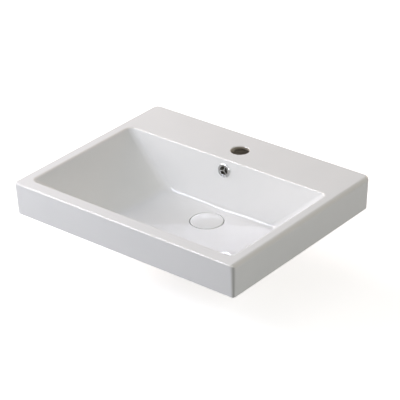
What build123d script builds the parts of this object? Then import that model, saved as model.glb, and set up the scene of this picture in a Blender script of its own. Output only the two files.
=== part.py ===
from build123d import *
import os
from math import atan2, cos, degrees, radians, sin, tan

os.makedirs("parts", exist_ok=True)

# All sizes are in millimetres.
# X runs across the basin, -Y faces the user and Z = 0 is the top of the worktop.

# China body, outside
WIDTH = 500.0             # across the rim
DEPTH = 400.0             # front to back over the rim
APRON_HEIGHT = 64.0       # rim above the worktop
APRON_DRAFT = 3.0         # how far each side leans in towards the worktop
CHINA = 10.0              # wall of the fired china
SEAT_WIDTH = 13.0         # flat foot that rests on the worktop
FRONT_CORNER_R = 6.0      # upright edges at the front
REAR_CORNER_R = 10.0      # upright edges at the back
RIM_EDGE_R = 4.5          # rounding along the outside of the rim
FOOT_EDGE_R = 1.5         # rounding along the outside of the foot

# Bowl
RIM_SIDE = 22.0           # rim left and right of the bowl
RIM_FRONT = 24.0          # rim in front of the bowl
DECK_DEPTH = 104.0        # tap deck behind the bowl
SIDE_LEAN = 46.0          # side walls, degrees from upright
FRONT_LEAN = 44.0         # front wall, degrees from upright
BACK_LEAN = 9.0           # back wall, degrees from upright
BOWL_DEPTH = 103.0        # rim to the floor beside the drain
FLOOR_FALL = 5.5          # slope of the floor towards the drain, degrees
MOUTH_CORNER_R = 13.0     # plan corners of the bowl at the rim
FLOOR_CORNER_R = 17.0     # plan corners of the bowl at the floor
MOUTH_EDGE_R = 5.0        # rounding where the rim turns into the bowl
FLOOR_EDGE_R = 7.0        # rounding where the walls turn into the floor
UNDER_EDGE_R = 4.0        # outside of the bowl, where its walls turn under
HOLLOW_CORNER_R = 8.0     # plan corners of the hidden hollow under the rim

# Tap hole
TAP_HOLE_D = 35.0
TAP_TO_BACK = 60.0        # tap hole centre from the back edge
TAP_HOLE_EDGE = 2.0       # rounding of its glazed mouth

# Drain
DRAIN_Y = 39.0            # drain centre behind the middle of the basin
DRAIN_HOLE_D = 46.0
RECESS_D = 64.0           # sunk seat that the waste flange lies in
BOSS_D = 74.0             # thick china round the drain
BOSS_LENGTH = 38.0        # from the sunk seat to the face that the nut pulls on
BOSS_FLARE_R = 7.0        # hollow rounding where the boss meets the floor

# Overflow
OVERFLOW_DROP = 22.0      # overflow centre below the rim
OVERFLOW_HOLE_D = 23.0
DUCT_WIDTH = 44.0         # cast passage behind the bowl
DUCT_DEEP = 9.0
DUCT_WALL = 5.5
DUCT_RISE = 14.0          # clear height of the passage under the floor
DUCT_FLOOR_ABOVE_BOSS = 13.5

# Overflow cover
COVER_D = 26.5
COVER_PROUD = 2.6
COVER_EDGE_R = 1.8        # soft outer edge of the ring
COVER_EYE_D = 16.6        # opening that the three spokes cross
COVER_EYE_R = 0.6         # edge of that opening
COVER_SLEEVE_WALL = 1.3
COVER_BEHIND = 1.7        # end of the sleeve behind the china
COVER_CLEARANCE = 0.4     # sleeve to hole
SNAP_BEAD = 0.3           # bead at the end of the spring fingers
SNAP_BEAD_LENGTH = 1.2
FINGER_SLIT = 3.0         # slit between two spring fingers
SPOKE_COUNT = 3
SPOKE_TURN = 75.0         # direction of the first spoke, degrees
SPOKE_WIDTH = 2.0
SPOKE_THICK = 1.4
SPOKE_HUB_D = 4.0

# Waste body
TAIL_D = 41.91            # outside of an inch-and-a-quarter pipe thread
TUBE_WALL = 2.15
TUBE_CHAMFER = 0.8
FLANGE_D = 62.0
FLANGE_THICK = 2.2
SEAL_D = 60.8
SEAL_THICK = 1.5
TAIL_BELOW_NUT = 24.0
THREAD_HALF = 0.74        # half the depth of the pipe thread
THREAD_RELIEF = 1.0       # bare tube between the nut and the free thread
SLOT_COUNT = 6            # overflow windows through the tube
SLOT_WIDTH = 10.0
SLOT_HEIGHT = 11.0
SLOT_CORNER_R = 2.0
SPIDER_ARMS = 4
SPIDER_ARM_WIDTH = 3.2
SPIDER_THICK = 6.0
SPIDER_HUB_D = 17.0

# Washers and nut under the boss
WASHER_D = 58.0
WASHER_GAP = 0.15         # rubber and plastic rings to the thread
CONE_RISE = 3.0           # how far the cone washer enters the drain hole
CONE_TAPER = 0.8          # how much its nose narrows over that rise
CONE_GAP = 0.2            # cone to the drain hole at its mouth
CONE_THICK = 6.0
SLIP_THICK = 1.5
NUT_ACROSS_FLATS = 50.0
NUT_HEIGHT = 9.0
NUT_COLLAR_D = 57.0
NUT_COLLAR = 2.5
NUT_CHAMFER = 1.0
THREAD_GAP = 0.05         # between faces that are screwed together

# Click cartridge
CARTRIDGE_D = 16.0
CARTRIDGE_LENGTH = 36.0
CARTRIDGE_WALL = 1.5
CARTRIDGE_COLLAR = 1.6    # thickness of its top, which guides the stem
STUD_D = 8.0
STUD_BELOW_SPIDER = 1.5
BASE_FLANGE = 1.5
BASE_SPIGOT = 2.0
POST_D = 5.2
POST_HEIGHT = 4.0
GUIDE_COUNT = 4           # slots in the cartridge, and fins on plunger and rotor
GUIDE_DEEP = 1.3
GUIDE_SLOT = 4.4
SLIDE_GAP = 0.2           # between the pieces that slide in the cartridge
STEM_D = 6.0
STEM_GRIP = 6.5           # length of stem screwed into the carrier
CROWN_HEIGHT = 3.5
TOOTH_WIDTH = 3.2
TOOTH_HEIGHT = 1.2
ROTOR_HEIGHT = 5.4
ROTOR_BORE_D = 4.8
PIN_BELOW_ROTOR = 2.2
WIRE_D = 0.9
SPRING_TURNS = 5
SPRING_D = 9.4            # mean diameter of the coils

# Plug
PLUG_LIFT = 9.0           # travel from closed up to open
PLUG_PRESS = 3.0          # travel from closed down to release the catch
PRESS_MARGIN = 0.5        # what is left under the plug when it is pressed
CAP_D = 61.2
CAP_EDGE = 3.7
CAP_DOME = 2.0
CAP_TOP_R = 1.4
CAP_UNDER_R = 0.6
CAP_STANDS = 0.4          # edge of the closed cap above the bowl floor
CARRIER_D = 30.0
CARRIER_PLATE = 1.6
CARRIER_NECK_D = 20.0
GLUE_GAP = 0.1
SKIRT_GAP = 0.8           # plug skirt to the bore of the tube
SKIRT_LIP = 0.8           # lip above and below the ring's groove
RING_D = 2.6              # section of the rubber ring
RING_GAP = 0.3            # ring to the bore of the tube
RING_DEPTH = 2.8          # ring centre below the top of the flange
GROOVE_SLACK = 0.2

# Places worked out from the sizes above
TOP = APRON_HEIGHT
MOUTH_HALF = WIDTH / 2 - RIM_SIDE
MOUTH_FRONT = -DEPTH / 2 + RIM_FRONT
MOUTH_BACK = DEPTH / 2 - DECK_DEPTH
TAP_Y = DEPTH / 2 - TAP_TO_BACK
BACK_CHINA = CHINA / cos(radians(BACK_LEAN))
DRAFT_ANGLE = degrees(atan2(APRON_DRAFT, APRON_HEIGHT))

FLOOR_Z = TOP - BOWL_DEPTH
CAP_Z = FLOOR_Z + CAP_STANDS - CAP_EDGE
FLANGE_TOP = CAP_Z - PLUG_PRESS - PRESS_MARGIN
FLANGE_Z = FLANGE_TOP - FLANGE_THICK
SEAT_Z = FLANGE_Z - SEAL_THICK
BOSS_Z = SEAT_Z - BOSS_LENGTH
CONE_Z = BOSS_Z - CONE_THICK
SLIP_Z = CONE_Z - SLIP_THICK
NUT_Z = SLIP_Z - NUT_HEIGHT
TAIL_Z = NUT_Z - TAIL_BELOW_NUT
DUCT_FLOOR_Z = BOSS_Z + DUCT_FLOOR_ABOVE_BOSS
DUCT_ROOF_Z = DUCT_FLOOR_Z + DUCT_RISE

TUBE_R = TAIL_D / 2
SCREWED_R = TUBE_R - THREAD_HALF
BORE_R = TUBE_R - TUBE_WALL
RING_Z = FLANGE_TOP - RING_DEPTH
RING_R = BORE_R - RING_GAP - RING_D / 2
GROOVE_HALF = RING_D / 2 + GROOVE_SLACK
SKIRT_Z = RING_Z - GROOVE_HALF - SKIRT_LIP
STEM_TOP = SKIRT_Z + STEM_GRIP
CARTRIDGE_TOP = SKIRT_Z - PLUG_PRESS - PRESS_MARGIN
CARTRIDGE_Z = CARTRIDGE_TOP - CARTRIDGE_LENGTH
CHAMBER_TOP = CARTRIDGE_TOP - CARTRIDGE_COLLAR
CHAMBER_Z = CARTRIDGE_Z + BASE_FLANGE + BASE_SPIGOT
CHAMBER_R = CARTRIDGE_D / 2 - CARTRIDGE_WALL
CORE_R = CHAMBER_R - GUIDE_DEEP - SLIDE_GAP
FIN_R = CHAMBER_R - SLIDE_GAP
CROWN_TOP = CHAMBER_TOP - SLIDE_GAP - PLUG_LIFT
CROWN_Z = CROWN_TOP - CROWN_HEIGHT
ROTOR_TOP = CROWN_Z - TOOTH_HEIGHT - SLIDE_GAP
ROTOR_Z = ROTOR_TOP - ROTOR_HEIGHT
SPIDER_Z = CARTRIDGE_Z - SPIDER_THICK

# Planes and the drain's axis
DRAIN_AXIS = Axis((0, DRAIN_Y, 0), (0, 0, 1))
DRAIN_SECTION = Plane.XZ.offset(-DRAIN_Y)
OVERFLOW_Z = TOP - OVERFLOW_DROP


def over_drain(height):
    """A level plane centred on the drain."""
    return Plane((0, DRAIN_Y, height))


def out_of_drain(turn, height):
    """An upright plane through the drain's axis that faces outwards at a turn in degrees."""
    outward = (cos(radians(turn)), sin(radians(turn)), 0)
    along = (-sin(radians(turn)), cos(radians(turn)), 0)
    return Plane((0, DRAIN_Y, height), x_dir=along, z_dir=outward)


def back_wall_y(height):
    """Where the face of the bowl's back wall lies at a height."""
    return MOUTH_BACK - (TOP - height) * tan(radians(BACK_LEAN))


def bowl_outline(height, wall):
    """The bowl's level outline at a height, grown outwards by a wall."""
    drop = TOP - height
    half = MOUTH_HALF - drop * tan(radians(SIDE_LEAN)) + wall / cos(radians(SIDE_LEAN))
    front = MOUTH_FRONT + drop * tan(radians(FRONT_LEAN)) - wall / cos(radians(FRONT_LEAN))
    back = back_wall_y(height) + wall / cos(radians(BACK_LEAN))
    blend = drop / BOWL_DEPTH
    corner = MOUTH_CORNER_R + (FLOOR_CORNER_R - MOUTH_CORNER_R) * blend + wall
    with BuildSketch(Plane.XY.offset(height)) as outline:
        with Locations((0, (front + back) / 2)):
            RectangleRounded(2 * half, back - front, corner)
    return outline.sketch


def below_floor():
    """The section of what lies under the dished face of the floor."""
    rise = (WIDTH - RECESS_D / 2) * tan(radians(FLOOR_FALL))
    with BuildSketch(Plane.YZ) as section:
        with BuildLine():
            Polyline(
                (DRAIN_Y, FLOOR_Z), (DRAIN_Y - RECESS_D / 2, FLOOR_Z), (DRAIN_Y - WIDTH, FLOOR_Z + rise),
                (DRAIN_Y - WIDTH, FLOOR_Z - WIDTH), (DRAIN_Y, FLOOR_Z - WIDTH), close=True,
            )
        make_face()
    return section.sketch


def around_boss():
    """The section of what lies under the china floor, outside the boss."""
    rise = (BOSS_D / 2 - RECESS_D / 2) * tan(radians(FLOOR_FALL))
    side = DRAIN_Y - BOSS_D / 2
    low = FLOOR_Z - CHINA + rise
    with BuildSketch(Plane.YZ) as section:
        with BuildLine():
            Polyline(
                (side, BOSS_Z - CHINA), (side, low), (side - WIDTH, low + WIDTH * tan(radians(FLOOR_FALL))),
                (side - WIDTH, BOSS_Z - CHINA), close=True,
            )
        make_face()
        fillet(section.vertices().group_by(Axis.X)[-1].sort_by(Axis.Y)[-1], radius=BOSS_FLARE_R)
    return section.sketch


def duct_section(near, far, low, high, bend):
    """The overflow passage from the side: down behind the bowl, then forward to the drain."""
    with BuildSketch(Plane.YZ) as section:
        with BuildLine():
            Polyline(
                (back_wall_y(high) + near, high), (back_wall_y(high) + far, high),
                (back_wall_y(low) + far, low), (DRAIN_Y, low),
                (DRAIN_Y, bend), (back_wall_y(bend) + near, bend), close=True,
            )
        make_face()
    return section.sketch


def washer(height, thick, outer_r, inner_r):
    """A flat ring round the drain's axis."""
    with BuildPart() as ring:
        with BuildSketch(over_drain(height)):
            Circle(outer_r)
            Circle(inner_r, mode=Mode.SUBTRACT)
        extrude(amount=thick)
    return ring.part


def finned_section(height):
    """A round core with one fin for each slot of the cartridge."""
    with BuildSketch(over_drain(height)) as section:
        Circle(CORE_R)
        with PolarLocations(FIN_R / 2, GUIDE_COUNT):
            Rectangle(FIN_R, GUIDE_SLOT - 2 * SLIDE_GAP)
        Circle(FIN_R, mode=Mode.INTERSECT)
    return section.sketch


def crown_teeth(height):
    """Pointed teeth that hang from a height, two for each slot of the cartridge."""
    with BuildPart() as teeth:
        for number in range(2 * GUIDE_COUNT):
            turn = 360 / (2 * GUIDE_COUNT) * number
            with BuildSketch(out_of_drain(turn, height)):
                with BuildLine():
                    Polyline((-TOOTH_WIDTH / 2, 0), (TOOTH_WIDTH / 2, 0), (0, -TOOTH_HEIGHT), close=True)
                make_face()
            extrude(amount=CORE_R)
    return teeth.part


# The hollow of the bowl, a solid that the china is cut with
with BuildPart() as bowl_space:
    loft([bowl_outline(TOP + CHINA, 0), bowl_outline(FLOOR_Z - CHINA, 0)], ruled=True)
    revolve(below_floor(), axis=DRAIN_AXIS, mode=Mode.SUBTRACT)
    low_edges = bowl_space.edges().filter_by(lambda e: e.bounding_box().max.Z < TOP - BOWL_DEPTH / 2)
    fillet(low_edges.filter_by(GeomType.BSPLINE), radius=FLOOR_EDGE_R)

# The outside of the bowl, one wall larger, with the boss under its floor
with BuildPart() as bowl_outside:
    loft([bowl_outline(TOP - CHINA / 2, CHINA), bowl_outline(BOSS_Z, CHINA)], ruled=True)
    revolve(around_boss(), axis=DRAIN_AXIS, mode=Mode.SUBTRACT)
    under_edges = bowl_outside.edges().filter_by(lambda e: e.bounding_box().max.Z < TOP - BOWL_DEPTH / 2)
    fillet(under_edges.filter_by(GeomType.BSPLINE), radius=UNDER_EDGE_R)

overflow_plane = Plane(
    (0, back_wall_y(OVERFLOW_Z), OVERFLOW_Z), x_dir=(1, 0, 0),
    z_dir=(0, -cos(radians(BACK_LEAN)), sin(radians(BACK_LEAN))),
)

# Glazed china basin: apron, rim, tap deck, bowl, drain boss and overflow passage in one firing
with BuildPart() as basin_body:
    with BuildSketch() as footprint:
        Rectangle(WIDTH - 2 * APRON_DRAFT, DEPTH - 2 * APRON_DRAFT)
        fillet(footprint.vertices().group_by(Axis.Y)[0], radius=FRONT_CORNER_R)
        fillet(footprint.vertices().group_by(Axis.Y)[-1], radius=REAR_CORNER_R)
    extrude(amount=APRON_HEIGHT, taper=-DRAFT_ANGLE)
    # hollow under the rim and the deck, open to the worktop
    with BuildSketch():
        inset = 2 * (APRON_DRAFT + SEAT_WIDTH)
        RectangleRounded(WIDTH - inset, DEPTH - inset, HOLLOW_CORNER_R)
    extrude(amount=APRON_HEIGHT - CHINA, taper=-DRAFT_ANGLE, mode=Mode.SUBTRACT)
    # bowl, boss and the outside of the overflow passage
    add(bowl_outside.part)
    duct_shell = duct_section(BACK_CHINA / 2, BACK_CHINA + DUCT_DEEP + DUCT_WALL,
                              DUCT_FLOOR_Z - DUCT_WALL, TOP - CHINA / 2, FLOOR_Z - CHINA)
    extrude(duct_shell, amount=DUCT_WIDTH / 2 + DUCT_WALL, both=True)
    # the bowl and the overflow passage
    add(bowl_space.part, mode=Mode.SUBTRACT)
    duct_space = duct_section(BACK_CHINA, BACK_CHINA + DUCT_DEEP, DUCT_FLOOR_Z, TOP - CHINA, DUCT_ROOF_Z)
    extrude(duct_space, amount=DUCT_WIDTH / 2, both=True, mode=Mode.SUBTRACT)
    # sunk seat of the waste, drain hole, overflow hole and tap hole
    with BuildSketch(over_drain(SEAT_Z)):
        Circle(RECESS_D / 2)
    extrude(amount=FLOOR_Z - SEAT_Z + CHINA, mode=Mode.SUBTRACT)
    with BuildSketch(over_drain(BOSS_Z)):
        Circle(DRAIN_HOLE_D / 2)
    extrude(amount=BOSS_LENGTH, mode=Mode.SUBTRACT)
    with BuildSketch(overflow_plane):
        Circle(OVERFLOW_HOLE_D / 2)
    extrude(amount=-CHINA - DUCT_DEEP / 2, mode=Mode.SUBTRACT)
    with BuildSketch(Plane.XY.offset(TOP)):
        with Locations((0, TAP_Y)):
            Circle(TAP_HOLE_D / 2)
    extrude(amount=-2 * CHINA, mode=Mode.SUBTRACT)
    # rounded edges: tap hole, outside of the rim, mouth of the bowl, foot
    rim_face = basin_body.faces().filter_by(Axis.Z).sort_by(Axis.Z)[-1]
    fillet(rim_face.inner_wires().sort_by(SortBy.LENGTH)[0].edges(), radius=TAP_HOLE_EDGE)
    rim_face = basin_body.faces().filter_by(Axis.Z).sort_by(Axis.Z)[-1]
    fillet(rim_face.outer_wire().edges(), radius=RIM_EDGE_R)
    rim_face = basin_body.faces().filter_by(Axis.Z).sort_by(Axis.Z)[-1]
    fillet(rim_face.inner_wires().sort_by(SortBy.LENGTH)[-1].edges(), radius=MOUTH_EDGE_R)
    foot = basin_body.faces().filter_by(lambda f: abs(f.center().Z) < FOOT_EDGE_R / 2)
    fillet(foot.sort_by(SortBy.AREA)[-1].outer_wire().edges(), radius=FOOT_EDGE_R)
basin_body.part.label = "basin_body"
export_step(basin_body.part, "parts/basin_body.step")

# Overflow cover: a ring with three spokes, on a slit sleeve that snaps into the hole
SLEEVE_R = OVERFLOW_HOLE_D / 2 - COVER_CLEARANCE
SLEEVE_BORE_R = SLEEVE_R - COVER_SLEEVE_WALL
SLEEVE_LENGTH = CHINA + COVER_BEHIND

with BuildPart() as overflow_cover:
    with BuildSketch(overflow_plane):
        Circle(SLEEVE_R)
    extrude(amount=-SLEEVE_LENGTH)
    with BuildSketch(overflow_plane.offset(-SLEEVE_LENGTH)):
        Circle(SLEEVE_R + SNAP_BEAD)
    extrude(amount=SNAP_BEAD_LENGTH)
    with BuildSketch(overflow_plane):
        Circle(SLEEVE_BORE_R)
    extrude(amount=-SLEEVE_LENGTH, mode=Mode.SUBTRACT)
    with BuildSketch(overflow_plane.offset(-SLEEVE_LENGTH)):
        with PolarLocations(COVER_D / 2, 4, start_angle=45):
            Rectangle(COVER_D, FINGER_SLIT)
    extrude(amount=SLEEVE_LENGTH - COVER_PROUD, mode=Mode.SUBTRACT)
    with BuildSketch(overflow_plane):
        Circle(COVER_D / 2)
    extrude(amount=COVER_PROUD)
    with BuildSketch(overflow_plane):
        Circle(COVER_EYE_D / 2)
    extrude(amount=COVER_PROUD, mode=Mode.SUBTRACT)
    cover_face = overflow_cover.faces().sort_by(Axis.Y)[0]
    fillet(cover_face.outer_wire().edges(), radius=COVER_EDGE_R)
    cover_face = overflow_cover.faces().sort_by(Axis.Y)[0]
    fillet(cover_face.inner_wires().edges(), radius=COVER_EYE_R)
    with BuildSketch(overflow_plane):
        with PolarLocations(SLEEVE_BORE_R / 2, SPOKE_COUNT, start_angle=SPOKE_TURN):
            Rectangle(SLEEVE_BORE_R, SPOKE_WIDTH)
        Circle(SPOKE_HUB_D / 2)
        Circle(COVER_EYE_D / 2, mode=Mode.INTERSECT)
    extrude(amount=SPOKE_THICK)
overflow_cover.part.label = "overflow_cover"
export_step(overflow_cover.part, "parts/overflow_cover.step")

# Waste body: flange, threaded tube with overflow windows, and a spider that carries the cartridge
with BuildPart() as waste_body:
    with BuildSketch(DRAIN_SECTION):
        with BuildLine():
            Polyline(
                (BORE_R, FLANGE_TOP - TUBE_CHAMFER), (BORE_R + TUBE_CHAMFER, FLANGE_TOP),
                (FLANGE_D / 2 - TUBE_CHAMFER, FLANGE_TOP), (FLANGE_D / 2, FLANGE_TOP - TUBE_CHAMFER),
                (FLANGE_D / 2, FLANGE_Z), (SCREWED_R, FLANGE_Z),
                (SCREWED_R, NUT_Z - THREAD_RELIEF), (TUBE_R, NUT_Z - THREAD_RELIEF),
                (TUBE_R, TAIL_Z + TUBE_CHAMFER), (TUBE_R - TUBE_CHAMFER, TAIL_Z),
                (BORE_R, TAIL_Z), close=True,
            )
        make_face()
    revolve(axis=DRAIN_AXIS)
    with BuildSketch(over_drain(SPIDER_Z)):
        with PolarLocations(BORE_R / 2, SPIDER_ARMS, start_angle=45):
            Rectangle(BORE_R + TUBE_WALL, SPIDER_ARM_WIDTH)
        Circle(SPIDER_HUB_D / 2)
        Circle(STUD_D / 2 + THREAD_GAP, mode=Mode.SUBTRACT)
        Circle((BORE_R + SCREWED_R) / 2, mode=Mode.INTERSECT)
    extrude(amount=SPIDER_THICK)
    for number in range(SLOT_COUNT):
        window = out_of_drain(360 / SLOT_COUNT * (number + 0.5), DUCT_FLOOR_Z + DUCT_RISE / 2)
        with BuildSketch(window):
            RectangleRounded(SLOT_WIDTH, SLOT_HEIGHT, SLOT_CORNER_R)
        extrude(amount=TUBE_R + TUBE_WALL, mode=Mode.SUBTRACT)
waste_body.part.label = "waste_body"
export_step(waste_body.part, "parts/waste_body.step")

# Rubber seal between the flange and its sunk seat
with BuildPart() as flange_seal:
    add(washer(SEAT_Z, SEAL_THICK, SEAL_D / 2, TUBE_R + WASHER_GAP))
flange_seal.part.label = "flange_seal"
export_step(flange_seal.part, "parts/flange_seal.step")

# Rubber washer under the boss, with a nose that enters the drain hole
with BuildPart() as cone_washer:
    nose_r = DRAIN_HOLE_D / 2 - CONE_GAP
    with BuildSketch(DRAIN_SECTION):
        with BuildLine():
            Polyline(
                (TUBE_R + WASHER_GAP, CONE_Z), (WASHER_D / 2, CONE_Z), (WASHER_D / 2, BOSS_Z),
                (nose_r, BOSS_Z), (nose_r - CONE_TAPER, BOSS_Z + CONE_RISE),
                (TUBE_R + WASHER_GAP, BOSS_Z + CONE_RISE), close=True,
            )
        make_face()
    revolve(axis=DRAIN_AXIS)
cone_washer.part.label = "cone_washer"
export_step(cone_washer.part, "parts/cone_washer.step")

# Hard washer that lets the nut turn without dragging the rubber
with BuildPart() as slip_washer:
    add(washer(SLIP_Z, SLIP_THICK, WASHER_D / 2, TUBE_R + WASHER_GAP))
slip_washer.part.label = "slip_washer"
export_step(slip_washer.part, "parts/slip_washer.step")

# Back nut: hexagon with a round collar
with BuildPart() as back_nut:
    with BuildSketch(over_drain(NUT_Z)):
        RegularPolygon(NUT_ACROSS_FLATS / 2, 6, major_radius=False)
    extrude(amount=NUT_HEIGHT - NUT_COLLAR)
    chamfer(back_nut.faces().sort_by(Axis.Z)[0].edges(), length=NUT_CHAMFER)
    with BuildSketch(over_drain(SLIP_Z - NUT_COLLAR)):
        Circle(NUT_COLLAR_D / 2)
    extrude(amount=NUT_COLLAR)
    with BuildSketch(over_drain(NUT_Z)):
        Circle(SCREWED_R + THREAD_GAP)
    extrude(amount=NUT_HEIGHT, mode=Mode.SUBTRACT)
back_nut.part.label = "back_nut"
export_step(back_nut.part, "parts/back_nut.step")

# Cartridge: a tube with guide ribs inside and a collar round the stem
with BuildPart() as cartridge_housing:
    with BuildSketch(over_drain(CARTRIDGE_Z + BASE_FLANGE)):
        Circle(CARTRIDGE_D / 2)
        Circle(CHAMBER_R, mode=Mode.SUBTRACT)
    extrude(amount=CARTRIDGE_LENGTH - BASE_FLANGE)
    with BuildSketch(over_drain(CROWN_Z)):
        Circle(CHAMBER_R + CARTRIDGE_WALL / 2)
        Circle(CHAMBER_R - GUIDE_DEEP, mode=Mode.SUBTRACT)
        with PolarLocations(CHAMBER_R / 2, GUIDE_COUNT):
            Rectangle(CHAMBER_R, GUIDE_SLOT, mode=Mode.SUBTRACT)
    extrude(amount=CHAMBER_TOP - CROWN_Z)
    with BuildSketch(over_drain(CHAMBER_TOP)):
        Circle(CHAMBER_R + CARTRIDGE_WALL / 2)
        Circle(STEM_D / 2 + SLIDE_GAP, mode=Mode.SUBTRACT)
    extrude(amount=CARTRIDGE_COLLAR)
    outer_top = cartridge_housing.edges().filter_by(GeomType.CIRCLE).group_by(Axis.Z)[-1]
    chamfer(outer_top.sort_by(SortBy.RADIUS)[-1], length=CARTRIDGE_WALL / 2)
cartridge_housing.part.label = "cartridge_housing"
export_step(cartridge_housing.part, "parts/cartridge_housing.step")

# Base of the cartridge: screwed into the housing above and into the spider below
with BuildPart() as cartridge_base:
    with BuildSketch(over_drain(CARTRIDGE_Z)):
        Circle(CARTRIDGE_D / 2)
    extrude(amount=BASE_FLANGE)
    with BuildSketch(over_drain(CARTRIDGE_Z)):
        Circle(CHAMBER_R - THREAD_GAP)
    extrude(amount=BASE_FLANGE + BASE_SPIGOT)
    with BuildSketch(over_drain(CHAMBER_Z)):
        Circle(POST_D / 2)
    extrude(amount=POST_HEIGHT)
    with BuildSketch(over_drain(CARTRIDGE_Z)):
        Circle(STUD_D / 2)
    extrude(amount=-SPIDER_THICK - STUD_BELOW_SPIDER)
cartridge_base.part.label = "cartridge_base"
export_step(cartridge_base.part, "parts/cartridge_base.step")

# Plunger: stem, toothed crown that the guides keep from turning, and the rotor's pin
with BuildPart() as plunger:
    with BuildSketch(over_drain(CROWN_TOP)):
        Circle(STEM_D / 2)
    extrude(amount=STEM_TOP - CROWN_TOP)
    add(extrude(finned_section(CROWN_Z), amount=CROWN_HEIGHT, mode=Mode.PRIVATE))
    add(crown_teeth(CROWN_Z))
    with BuildSketch(over_drain(ROTOR_Z - PIN_BELOW_ROTOR)):
        Circle(ROTOR_BORE_D / 2 - SLIDE_GAP)
    extrude(amount=CROWN_Z - ROTOR_Z + PIN_BELOW_ROTOR)
plunger.part.label = "plunger"
export_step(plunger.part, "parts/plunger.step")

# Click rotor: notched to match the crown, and turned one step by each press
with BuildPart() as click_rotor:
    add(extrude(finned_section(ROTOR_Z), amount=ROTOR_HEIGHT, mode=Mode.PRIVATE))
    add(crown_teeth(ROTOR_TOP), mode=Mode.SUBTRACT)
    with BuildSketch(over_drain(ROTOR_Z)):
        Circle(ROTOR_BORE_D / 2)
    extrude(amount=ROTOR_HEIGHT, mode=Mode.SUBTRACT)
click_rotor.part.label = "click_rotor"
export_step(click_rotor.part, "parts/click_rotor.step")

# Spring that lifts the plug
with BuildPart() as return_spring:
    coil_z = CHAMBER_Z + WIRE_D / 2 + THREAD_GAP
    coil_height = ROTOR_Z - CHAMBER_Z - WIRE_D - 2 * THREAD_GAP
    with BuildLine(over_drain(coil_z)) as coil:
        Helix(pitch=coil_height / SPRING_TURNS, height=coil_height, radius=SPRING_D / 2)
    with BuildSketch(Plane(coil.line @ 0, z_dir=coil.line % 0)):
        Circle(WIRE_D / 2)
    sweep(is_frenet=True)
return_spring.part.label = "return_spring"
export_step(return_spring.part, "parts/return_spring.step")

# Carrier of the cap: plate under the china, neck, and skirt with the groove of the ring
with BuildPart() as cap_carrier:
    with BuildSketch(DRAIN_SECTION):
        skirt_r = BORE_R - SKIRT_GAP
        groove_r = RING_R - RING_D / 2 - THREAD_GAP
        with BuildLine():
            Polyline(
                (0, CAP_Z + CARRIER_PLATE), (CARRIER_D / 2, CAP_Z + CARRIER_PLATE),
                (CARRIER_D / 2, CAP_Z), (CARRIER_NECK_D / 2, CAP_Z),
                (CARRIER_NECK_D / 2, RING_Z + GROOVE_HALF + SKIRT_LIP),
                (skirt_r, RING_Z + GROOVE_HALF + SKIRT_LIP), (skirt_r, RING_Z + GROOVE_HALF),
                (groove_r, RING_Z + GROOVE_HALF), (groove_r, RING_Z - GROOVE_HALF),
                (skirt_r, RING_Z - GROOVE_HALF), (skirt_r, SKIRT_Z), (0, SKIRT_Z), close=True,
            )
        make_face()
    revolve(axis=DRAIN_AXIS)
    with BuildSketch(over_drain(SKIRT_Z)):
        Circle(STEM_D / 2 + THREAD_GAP)
    extrude(amount=STEM_GRIP, mode=Mode.SUBTRACT)
cap_carrier.part.label = "cap_carrier"
export_step(cap_carrier.part, "parts/cap_carrier.step")

# Rubber ring that closes the bore
with BuildPart() as plug_ring:
    with BuildSketch(DRAIN_SECTION):
        with Locations((RING_R, RING_Z)):
            Circle(RING_D / 2)
    revolve(axis=DRAIN_AXIS)
plug_ring.part.label = "plug_ring"
export_step(plug_ring.part, "parts/plug_ring.step")

# Domed china cap
with BuildPart() as china_cap:
    with BuildSketch(DRAIN_SECTION) as half_cap:
        with BuildLine():
            crown_z = CAP_Z + CAP_EDGE + CAP_DOME
            dome_r = ((CAP_D / 2) ** 2 + CAP_DOME ** 2) / (2 * CAP_DOME)
            Polyline((0, crown_z), (0, CAP_Z), (CAP_D / 2, CAP_Z), (CAP_D / 2, CAP_Z + CAP_EDGE))
            RadiusArc((CAP_D / 2, CAP_Z + CAP_EDGE), (0, crown_z), -dome_r)
        make_face()
        fillet(half_cap.vertices().group_by(Axis.X)[-1].sort_by(Axis.Y)[-1], radius=CAP_TOP_R)
        fillet(half_cap.vertices().group_by(Axis.X)[-1].sort_by(Axis.Y)[0], radius=CAP_UNDER_R)
    revolve(axis=DRAIN_AXIS)
    with BuildSketch(over_drain(CAP_Z)):
        Circle(CARRIER_D / 2 + GLUE_GAP)
    extrude(amount=CARRIER_PLATE, mode=Mode.SUBTRACT)
china_cap.part.label = "china_cap"
export_step(china_cap.part, "parts/china_cap.step")
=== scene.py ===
# %% [markdown]
# An inset wash basin. The solid model of the basin already exists, with each of its pieces in a node of
# its own, and this script dresses it: it remakes the china with the soft edges that firing gives it, cuts
# the threads and winds the spring, gives each piece the finish of the real one, and sets up the light and
# the camera. X runs across the basin, -Y faces the user and Z = 0 is the top of the worktop that the basin
# stands on. Blender works in metres, and the sizes below are in millimetres, as on a drawing.

# %% Load the solid model
from math import cos, exp, hypot, pi, radians, sin, tan

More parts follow.
